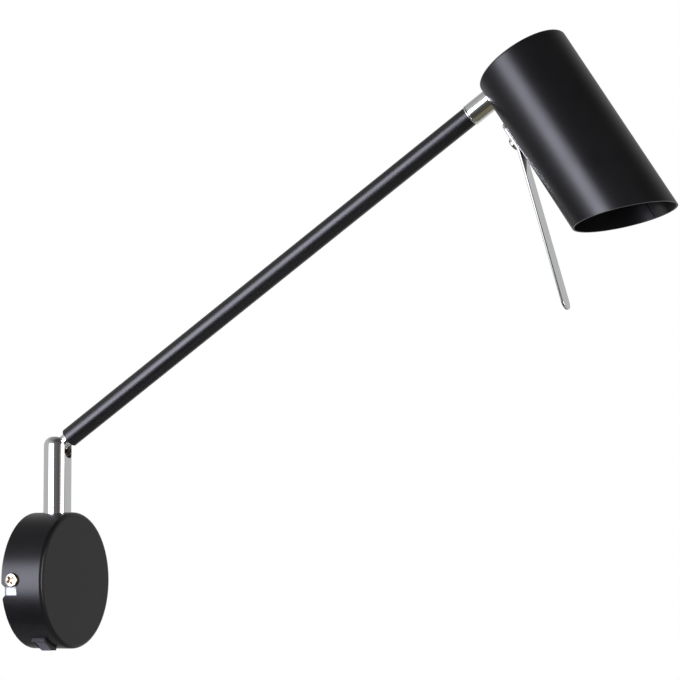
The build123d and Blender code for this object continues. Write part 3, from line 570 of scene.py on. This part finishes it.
# Bright nickel: warm silver, nearly a mirror, slightly uneven from the heading die.
nickel, tree, spot = bare_finish("bright nickel plate")
dents = add(tree, "ShaderNodeTexNoise", {"Scale": 1 / (1.2 * mm), "Detail": 2.0}, {"Vector": spot})
tone = add(tree, "ShaderNodeMix",
           {"data_type": "RGBA", colour_a: linear("#c2bcb2"), colour_b: linear("#aba397")},
           {"Factor": dents.outputs["Fac"]})
polish = add(tree, "ShaderNodeMapRange", {"To Min": 0.16, "To Max": 0.30}, {"Value": dents.outputs["Fac"]})
relief = add(tree, "ShaderNodeBump", {"Strength": 0.2, "Distance": 0.02 * mm},
             {"Height": dents.outputs["Fac"]})
metal = add(tree, "ShaderNodeBsdfPrincipled", {"Metallic": 1.0},
            {"Base Color": tone.outputs[mixed], "Roughness": polish.outputs[0], "Normal": relief.outputs[0]})
add(tree, "ShaderNodeOutputMaterial", links={"Surface": metal.outputs[0]})

# Inside the recess the plating is thin and keeps a brown film of the heading oil.
oiled, tree, spot = bare_finish("thin nickel with an oil film")
film = add(tree, "ShaderNodeTexNoise", {"Scale": 1 / (0.6 * mm), "Detail": 3.0}, {"Vector": spot})
tone = add(tree, "ShaderNodeMix",
           {"data_type": "RGBA", colour_a: linear("#b79e86"), colour_b: linear("#8f775f")},
           {"Factor": film.outputs["Fac"]})
metal = add(tree, "ShaderNodeBsdfPrincipled", {"Metallic": 1.0, "Roughness": 0.45},
            {"Base Color": tone.outputs[mixed]})
add(tree, "ShaderNodeOutputMaterial", links={"Surface": metal.outputs[0]})

thread_pitch = 0.7
thread_depth = 0.35
head_chamfer = 0.12
pan_shares = [(0, 1), (0.45, 0.99), (0.72, 0.96), (0.88, 0.88), (0.96, 0.70), (1, 0.45)]


def cross_screw(name, head, height, shank, length):
    """A pan head screw with a cross recess: head above the XY plane, threaded shank below."""
    edge = head / 2
    dome = [(edge * across, height * up) for across, up in pan_shares]
    dome += [(edge, head_chamfer), (edge - head_chamfer, 0)]
    thread = []
    for turn in range(int(length / thread_pitch)):
        crest = -thread_pitch * turn - 0.1
        thread += [(shank / 2, crest), (shank / 2 - thread_depth, crest - thread_pitch / 2)]
    tip = [(shank / 2 - 0.5, -length), (0, -length)]
    made = built(lathe(dome + thread + tip), name, nickel)
    wing, web = head * 0.36, head * 0.11
    deep, top = height - head * 0.18, height + 0.5
    outlines = []
    for z, long, wide in ((deep, wing * 0.45, web * 0.7), (top, wing, web * 1.1)):
        outline = []
        arm = [(wide, long), (-wide, long), (-wide, wide)]
        for quarter in range(4):
            outline += [(x, y, z) for x, y in arm]
            arm = [(-y, x) for x, y in arm]
        outlines.append(outline)
    return carved(made, built(prism(*outlines), "cross", oiled))


rim_form = cross_screw("rim_form", head=8.8, height=2.4, shank=4.0, length=5.9)

screw_pair = geometry_tree("screws at the sides of the rim",
                           {"Form": "Object", "Out from wall": "Float", "Rim radius": "Float"}, "Screws")
given = add(screw_pair, "NodeGroupInput")
near_y = add(screw_pair, "ShaderNodeMath", {"operation": "MULTIPLY", 1: -1.0},
             {0: given.outputs["Rim radius"]})
across = add(screw_pair, "ShaderNodeMath", {"operation": "MULTIPLY", 1: 2.0},
             {0: given.outputs["Rim radius"]})
first = add(screw_pair, "ShaderNodeCombineXYZ", {}, {0: given.outputs["Out from wall"], 1: near_y.outputs[0]})
step = add(screw_pair, "ShaderNodeCombineXYZ", {}, {1: across.outputs[0]})
sides = add(screw_pair, "GeometryNodeMeshLine", {"Count": 2},
            {"Start Location": first.outputs[0], "Offset": step.outputs[0]})
order = add(screw_pair, "GeometryNodeInputIndex")
tip = add(screw_pair, "ShaderNodeMath", {"operation": "MULTIPLY_ADD", 1: -math.pi, 2: math.pi / 2},
          {0: order.outputs[0]})
spin = add(screw_pair, "FunctionNodeRandomValue", {"data_type": "FLOAT", 2: 0.35, 3: 1.2, "Seed": 2})
facing = add(screw_pair, "ShaderNodeCombineXYZ", {}, {0: tip.outputs[0]})
form = add(screw_pair, "GeometryNodeObjectInfo", links={"Object": given.outputs["Form"]})
twist = add(screw_pair, "ShaderNodeCombineXYZ", {}, {2: spin.outputs[1]})
stand = add(screw_pair, "GeometryNodeInstanceOnPoints", {},
            {"Points": sides.outputs[0], "Instance": form.outputs["Geometry"],
             "Rotation": facing.outputs[0]})
turned = add(screw_pair, "GeometryNodeRotateInstances", {},
             {"Instances": stand.outputs[0], "Rotation": twist.outputs[0]})
solid = add(screw_pair, "GeometryNodeRealizeInstances", links={"Geometry": turned.outputs[0]})
recess = add(screw_pair, "GeometryNodeMaterialSelection", {"Material": oiled})
plain = add(screw_pair, "FunctionNodeBooleanMath", {"operation": "NOT"}, {0: recess.outputs[0]})
coated = add(screw_pair, "GeometryNodeSetMaterial", {"Material": nickel},
             {"Geometry": solid.outputs[0], "Selection": plain.outputs[0]})
add(screw_pair, "NodeGroupOutput", links={0: coated.outputs[0]})
low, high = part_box("canopy_screws")
canopy_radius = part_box("canopy_cup")[1].y
rim_screws = grown(screw_pair, "rim_screws",
                   {"Form": rim_form, "Out from wall": (low.x + high.x) / 2, "Rim radius": canopy_radius})
stands_for(rim_screws, "canopy", "nickel_screw", "canopy_screws")
bpy.data.objects.remove(rim_form)

# Swivel. A folded bracket welded to the front wall carries the post on a nylon washer; a steel spigot in
# the post's foot hangs through it, held by a spring washer and a nut that set how stiffly it turns.

# Turned steel: mid grey, satin, with a fine ring left by each turn of the tool (0.1 mm, drawn at 0.4 mm).
turned_steel, tree, spot = bare_finish("plain turned steel")
rings = add(tree, "ShaderNodeTexWave",
            {"bands_direction": "Z", "Scale": 0.05 / (0.4 * mm), "Distortion": 0.4}, {"Vector": spot})
stain = add(tree, "ShaderNodeTexNoise", {"Scale": 1 / (4 * mm), "Detail": 3.0}, {"Vector": spot})
tone = add(tree, "ShaderNodeMix",
           {"data_type": "RGBA", colour_a: linear("#8d8c89"), colour_b: linear("#77736d")},
           {"Factor": stain.outputs["Fac"]})
relief = add(tree, "ShaderNodeBump", {"Strength": 0.3, "Distance": 0.02 * mm},
             {"Height": rings.outputs["Fac"]})
metal = add(tree, "ShaderNodeBsdfPrincipled", {"Metallic": 1.0, "Roughness": 0.3},
            {"Base Color": tone.outputs[mixed], "Normal": relief.outputs[0]})
add(tree, "ShaderNodeOutputMaterial", links={"Surface": metal.outputs[0]})

# Hardened spring steel: dark, with a straw to blue temper tint under a film of oil.
spring, tree, spot = bare_finish("oiled spring steel")
temper = add(tree, "ShaderNodeTexNoise", {"Scale": 1 / (5 * mm), "Detail": 2.0}, {"Vector": spot})
tone = add(tree, "ShaderNodeMix",
           {"data_type": "RGBA", colour_a: linear("#5d5a55"), colour_b: linear("#4c5058")},
           {"Factor": temper.outputs["Fac"]})
metal = add(tree, "ShaderNodeBsdfPrincipled", {"Metallic": 1.0, "Roughness": 0.3, "Coat Weight": 0.3},
            {"Base Color": tone.outputs[mixed]})
add(tree, "ShaderNodeOutputMaterial", links={"Surface": metal.outputs[0]})


def reach_along(node, where):
    """Where a CAD node starts and ends along the Z axis of a seat, in millimetres."""
    back = where.inverted()
    heights = [(back @ corner.co).z / mm for corner in frame["nodes"][node].data.vertices]
    return min(heights), max(heights)


def hex_nut(node, flats, hole, where, body):
    """A zinc-plated hexagon nut in place of a CAD one, with its corners chamfered on both faces."""
    low, high = reach_along(node, where)
    steps = 72
    face_radius = flats * 0.48
    work = bmesh.new()
    rings = [[] for level in range(6)]
    for k in range(steps):
        turn = 2 * math.pi * k / steps
        corner = flats / 2 / math.cos(turn % (math.pi / 3) - math.pi / 6)
        fall = (corner - face_radius) * 0.5
        section = [(hole, low), (face_radius, low), (corner, low + fall),
                   (corner, high - fall), (face_radius, high), (hole, high)]
        for ring, (radius, height) in zip(rings, section):
            ring.append(work.verts.new(about_z(radius, turn, height)))
    for a, b in zip(rings, rings[1:] + rings[:1]):
        for k in range(steps):
            n = (k + 1) % steps
            work.faces.new((a[k], a[n], b[n], b[k]))
    stands_for(built(work, node + "_chamfered", zinc, where, crease=25), body, "zinc_steel", node)


joints = {joint["name"]: joint for joint in frame["joints"]}
at_post = seat(Vector(joints["post_swivel"]["pos_m"]) / mm, (1, 0, 0), (0, 0, 1))
softened("swivel_bracket", zinc, "canopy", "zinc_steel", broken=0.2 * mm)
dress(nylon, "thrust_washer")
dress(turned_steel, "post_spigot", "ball_follower")
dress(spring, "post_washer", "disc_springs")
hex_nut("post_nut", flats=14.0, hole=5.05, where=at_post, body="post")

# Post. A steel sleeve turned with a ball seat under its dome, slotted for the arm's stem, then polished
# and chrome plated.

# Bright chrome: a cool, nearly perfect mirror over polished steel. The buffing leaves the faintest waves,
# some 8 mm long, and a haze that comes and goes.
chrome, tree, spot = bare_finish("bright chrome plate")
buffed = add(tree, "ShaderNodeTexNoise", {"Scale": 1 / (8 * mm), "Detail": 1.0}, {"Vector": spot})
haze = add(tree, "ShaderNodeMapRange", {"From Min": 0.3, "From Max": 0.7, "To Min": 0.02, "To Max": 0.045},
           {"Value": buffed.outputs["Fac"]})
tone = add(tree, "ShaderNodeMix",
           {"data_type": "RGBA", colour_a: linear("#ecedef"), colour_b: linear("#eeefef")},
           {"Factor": buffed.outputs["Fac"]})
relief = add(tree, "ShaderNodeBump", {"Strength": 0.1, "Distance": 0.01 * mm},
             {"Height": buffed.outputs["Fac"]})
metal = add(tree, "ShaderNodeBsdfPrincipled", {"Metallic": 1.0},
            {"Base Color": tone.outputs[mixed], "Roughness": haze.outputs[0], "Normal": relief.outputs[0]})
add(tree, "ShaderNodeOutputMaterial", links={"Surface": metal.outputs[0]})

dress(chrome, "post_sleeve")

# Arm. A 12 mm steel tube, powder coated like the canopy, with the chromed ball knuckle pressed into its
# lower end and a tapped plug in its upper one. The flex runs through all of it.

arm_way = Vector(joints["shade_turn"]["axis"])
side_way = -Vector(joints["arm_tilt"]["axis"])
pivot = Vector(joints["arm_tilt"]["pos_m"]) / mm
at_arm = seat(pivot, side_way, arm_way)

# Ball: a thin brown-black film over the chrome where the ball turns in its seat, darker than the plating.
ball_film, tree, spot = bare_finish("dark brown film on the ball")
mottle = add(tree, "ShaderNodeTexNoise", {"Scale": 1 / (1.5 * mm), "Detail": 3.0}, {"Vector": spot})
tone = add(tree, "ShaderNodeMix",
           {"data_type": "RGBA", colour_a: linear("#40382f"), colour_b: linear("#1d1813")},
           {"Factor": mottle.outputs["Fac"]})
gloss = add(tree, "ShaderNodeMapRange", {"To Min": 0.2, "To Max": 0.45}, {"Value": mottle.outputs["Fac"]})
film = add(tree, "ShaderNodeBsdfPrincipled", {"IOR": 1.47},
           {"Base Color": tone.outputs[mixed], "Roughness": gloss.outputs[0]})
add(tree, "ShaderNodeOutputMaterial", links={"Surface": film.outputs[0]})

# The knuckle's neck flares out to the tube, a little wider and higher than the CAD neck.
ball_radius = 5.6
neck_radius = 5.5
neck_low = 9.0
flare_radius = 5.9
flare_low = 10.0
slack = 0.05
knuckle = merged("ball_knuckle")
for corner in knuckle.verts:
    local = at_arm.inverted() @ corner.co / mm
    reach = math.hypot(local.x, local.y)
    if local.z > neck_low and abs(reach - neck_radius) < slack:
        grow = flare_radius / reach
        corner.co = at_arm @ (Vector((local.x * grow, local.y * grow, max(local.z, flare_low))) * mm)
for face in knuckle.faces:
    if all((corner.co - pivot * mm).length < (ball_radius + slack) * mm for corner in face.verts):
        face.material_index = 1
knuckle = built(knuckle, "knuckle_flared", chrome)
knuckle.data.materials.append(ball_film)
stands_for(knuckle, "arm", "chrome_plate", "ball_knuckle")
dress(tube_coat, "arm_tube")
dress(turned_steel, "arm_end_plug")

# Flex sheath: soft clear-grey vinyl, slightly see-through, with a slow swell where the cores twist inside.
sheath, tree, spot = bare_finish("clear grey vinyl sheath")
swell = add(tree, "ShaderNodeTexWave", {"bands_direction": "DIAGONAL", "Scale": 0.05 / (9 * mm)},
            {"Vector": spot})
dust = add(tree, "ShaderNodeTexNoise", {"Scale": 1 / (1.5 * mm), "Detail": 3.0}, {"Vector": spot})
tone = add(tree, "ShaderNodeMix",
           {"data_type": "RGBA", colour_a: linear("#c3c3be"), colour_b: linear("#b2b1aa")},
           {"Factor": dust.outputs["Fac"]})
relief = add(tree, "ShaderNodeBump", {"Strength": 0.4, "Distance": 0.15 * mm},
             {"Height": swell.outputs["Fac"]})
vinyl = add(tree, "ShaderNodeBsdfPrincipled",
            {"Roughness": 0.35, "IOR": 1.53, "Subsurface Weight": 0.3,
             "Subsurface Radius": (1.0 * mm, 1.0 * mm, 1.0 * mm), "Subsurface Scale": 1.0},
            {"Base Color": tone.outputs[mixed], "Normal": relief.outputs[0]})
add(tree, "ShaderNodeOutputMaterial", links={"Surface": vinyl.outputs[0]})
dress(sheath, "lead_in_post", "lead_in_arm", "lead_in_shade")

# Shade swivel. A chromed ring on the arm and a chromed sleeve on the shade turn against each other on a
# hollow nipple; a washer and nut inside the shade hold them together.

ring_bore = 4.05
ring_radius = 6.5
low, high = reach_along("swivel_ring", at_arm)
ring_outline = [(ring_bore, low), (6.1, low), (6.38, low + 0.12), (ring_radius, low + 0.4),
                (ring_radius, low + 0.9), (5.6, high), (ring_bore, high)]
ring = built(lathe(ring_outline, 96, closed=True), "swivel_ring_grooved", chrome, at_arm, crease=50)
stands_for(ring, "arm", "chrome_plate", "swivel_ring")
dress(chrome, "swivel_sleeve")
dress(turned_steel, "swivel_nipple")
dress(spring, "nipple_washer")
hex_nut("nipple_nut", flats=9.5, hole=4.05, where=at_arm, body="arm")

# Shade. A tube rolled from steel sheet, seam welded, closed by a disc at the top and cut off slantwise at
# the mouth; powder coated inside and out. Outside the seam is ground away, inside its line still shows.

shade_way = side_way.cross(arm_way)
shade_middle = Vector(joints["shade_turn"]["pos_m"]) / mm
at_shade = seat(shade_middle, arm_way, shade_way)

shade = softened("shade_cup", powder, "shade", "black_powder_coat", broken=0.4 * mm, segments=3)
shade.data.materials.append(top_coat)
for face in shade.data.polygons:
    if face.normal.dot(shade_way) < -0.95:
        face.material_index = 1

shade_bore = 27.55
mouth_middle = 106.1
mouth_slant = math.radians(21)
seam_turn = math.radians(-74)
seam_start = 8.0
out_way = (math.cos(seam_turn), math.sin(seam_turn))
round_way = (-out_way[1], out_way[0])
bead = []
for across, inward in ((-0.6, -0.15), (-0.5, 0.20), (-0.2, 0.50), (0.2, 0.50), (0.5, 0.20), (0.6, -0.15)):
    bead.append(tuple(o * (shade_bore - inward) + r * across for o, r in zip(out_way, round_way)))
seam_end = mouth_middle + shade_bore * out_way[0] * math.tan(mouth_slant) - 0.5
seam_body = prism([corner + (seam_start,) for corner in bead], [corner + (seam_end,) for corner in bead])
seam = built(seam_body, "shade_seam", powder, at_shade)
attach(seam, "shade")

# Handle. A strip of 1.5 mm steel with round ends, bent away from the shade, polished with soft edges and
# chrome plated. One nickel screw holds it, with a nut inside the shade.

shade_radius = 28.55
screw_drop = 30.5
strip_thickness = 1.5
back_taper = 0.032
edge_chamfer = 0.6 * mm
chamfer_slide = 0.25 * mm
crisp = math.radians(20)
strip = merged("handle_strip")
for corner in strip.verts:
    if any(face.normal.dot(arm_way) > 0.5 for face in corner.link_faces):
        corner.co -= side_way * ((corner.co - shade_middle * mm).dot(side_way) * back_taper)
strip.normal_update()
outer = []
for edge in strip.edges:
    if is_sharp(edge) and any(face.normal.dot(arm_way) < -0.5 for face in edge.link_faces):
        outer.append(edge)
chamfers = bmesh.ops.bevel(strip, geom=outer, offset=edge_chamfer, offset_type="OFFSET", segments=1,
                           affect="EDGES", clamp_overlap=False)["faces"]
strip.normal_update()

# Polishing took more off the strip's edge than off its face, so each chamfer's inner edge slides outwards.
slides = {}
for face in chamfers:
    for corner in face.verts:
        for flat in corner.link_faces:
            if flat.normal.dot(arm_way) < -0.85:
                slides[corner] = (face.normal - flat.normal * face.normal.dot(flat.normal)).normalized()
for corner, outwards in slides.items():
    corner.co += outwards * chamfer_slide
strip.normal_update()
for edge in {edge for face in chamfers for edge in face.edges}:
    edge.smooth = edge.calc_face_angle() < crisp
softened("handle_strip", chrome, "shade", "chrome_plate", broken=0.30 * mm, segments=3, work=strip)

at_handle = seat(shade_middle - arm_way * shade_radius + shade_way * screw_drop, side_way, -arm_way)
grip_turn = 0.5
grip_screw = cross_screw("grip_screw", head=7.8, height=2.2, shank=4.0, length=7.2)
on_strip = Matrix.Translation((0, 0, strip_thickness * mm)) @ Matrix.Rotation(grip_turn, 4, "Z")
grip_screw.data.transform(at_handle @ on_strip)
stands_for(grip_screw, "shade", "nickel_screw", "handle_screw")
hex_nut("handle_nut", flats=7.0, hole=2.05, where=at_handle, body="shade")

# Lampholder. A black phenolic cap and skirt on a folded bracket, with a steatite core, a brass thread
# sleeve for a 14 mm cap and a brass centre contact.

# Black phenolic: brown-black and glossy from the polished mould, with faint flow lines.
phenolic, tree, spot = bare_finish("black phenolic moulding")
flow = add(tree, "ShaderNodeTexNoise", {"Scale": 1 / (6 * mm), "Detail": 4.0, "Distortion": 1.5},
           {"Vector": spot})
tone = add(tree, "ShaderNodeMix",
           {"data_type": "RGBA", colour_a: linear("#191513"), colour_b: linear("#120f0e")},
           {"Factor": flow.outputs["Fac"]})
gloss = add(tree, "ShaderNodeMapRange", {"To Min": 0.16, "To Max": 0.3}, {"Value": flow.outputs["Fac"]})
resin = add(tree, "ShaderNodeBsdfPrincipled", {"IOR": 1.6},
            {"Base Color": tone.outputs[mixed], "Roughness": gloss.outputs[0]})
add(tree, "ShaderNodeOutputMaterial", links={"Surface": resin.outputs[0]})

# Steatite: a fired off-white ceramic with a thin glaze and a few grey specks.
steatite, tree, spot = bare_finish("glazed steatite")
specks = add(tree, "ShaderNodeTexVoronoi", {"Scale": 1 / (1.2 * mm)}, {"Vector": spot})
fleck = add(tree, "ShaderNodeMapRange", {"From Min": 0.08, "From Max": 0.14, "To Min": 1.0, "To Max": 0.0},
            {"Value": specks.outputs["Distance"]})
tone = add(tree, "ShaderNodeMix",
           {"data_type": "RGBA", colour_a: linear("#e2dccd"), colour_b: linear("#a9a294")},
           {"Factor": fleck.outputs[0]})
glaze = add(tree, "ShaderNodeBsdfPrincipled", {"Roughness": 0.28, "IOR": 1.55},
            {"Base Color": tone.outputs[mixed]})
add(tree, "ShaderNodeOutputMaterial", links={"Surface": glaze.outputs[0]})

softened("lampholder_bracket", zinc, "shade", "zinc_steel", broken=0.2 * mm)
hex_nut("lampholder_nut", flats=14.0, hole=5.05, where=at_shade, body="shade")
dress(phenolic, "lampholder_cap", "lampholder_skirt")
dress(steatite, "lampholder_carrier")
dress(brass, "lampholder_contact")

rib_inputs = {"Count": "Int", "Skirt radius": "Float", "Rib radius": "Float", "Rib length": "Float"}
rib_ring = geometry_tree("grip ribs round the skirt", rib_inputs, "Ribs")
given = add(rib_ring, "NodeGroupInput")
girth = add(rib_ring, "GeometryNodeMeshCircle", {},
            {"Vertices": given.outputs["Count"], "Radius": given.outputs["Skirt radius"]})
rib = add(rib_ring, "GeometryNodeMeshCylinder", {"Vertices": 12},
          {"Radius": given.outputs["Rib radius"], "Depth": given.outputs["Rib length"]})
stand = add(rib_ring, "GeometryNodeInstanceOnPoints", {},
            {"Points": girth.outputs[0], "Instance": rib.outputs["Mesh"]})
solid = add(rib_ring, "GeometryNodeRealizeInstances", links={"Geometry": stand.outputs[0]})
coated = add(rib_ring, "GeometryNodeSetMaterial", {"Material": phenolic}, {"Geometry": solid.outputs[0]})
add(rib_ring, "NodeGroupOutput", links={0: coated.outputs[0]})
ribs_middle = 41.5
ribs = grown(rib_ring, "skirt_ribs",
             {"Count": 28, "Skirt radius": 12.9 * mm, "Rib radius": 0.6 * mm, "Rib length": 17.0 * mm})
ribs.data.shade_smooth()
ribs.data.set_sharp_from_angle(angle=math.radians(40))
ribs.data.transform(at_shade @ Matrix.Translation((0, 0, ribs_middle * mm)))
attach(ribs, "shade")

# The sleeve's thread is rolled, so it shows on both skins and fades out at both ends.
sleeve_skins = (7.2, 7.55)
end_gap = 0.05
low, high = reach_along("lampholder_shell", at_shade)
sleeve_low, sleeve_high = low + end_gap, high - end_gap
lamp_pitch = 2.82
lamp_depth = 0.3
fade = 1.5
rows, columns = 71, 72
work = bmesh.new()
skins = []
for radius in sleeve_skins:
    rings = []
    for row in range(rows):
        height = sleeve_low + (sleeve_high - sleeve_low) * row / (rows - 1)
        depth = lamp_depth * min(1.0, (height - sleeve_low) / fade, (sleeve_high - height) / fade)
        ring = []
        for k in range(columns):
            turn = 2 * math.pi * k / columns
            reach = radius + depth * math.cos(2 * math.pi * height / lamp_pitch - turn)
            ring.append(work.verts.new(about_z(reach, turn, height)))
        rings.append(ring)
    skins.append(rings)
inner, outer = skins
pairs = [(a, b) for rings in skins for a, b in zip(rings, rings[1:])]
for a, b in pairs + [(inner[0], outer[0]), (inner[-1], outer[-1])]:
    for k in range(columns):
        n = (k + 1) % columns
        work.faces.new((a[k], a[n], b[n], b[k]))
sleeve = built(work, "thread_sleeve", brass, at_shade, crease=50)
stands_for(sleeve, "shade", "yellow_brass", "lampholder_shell")
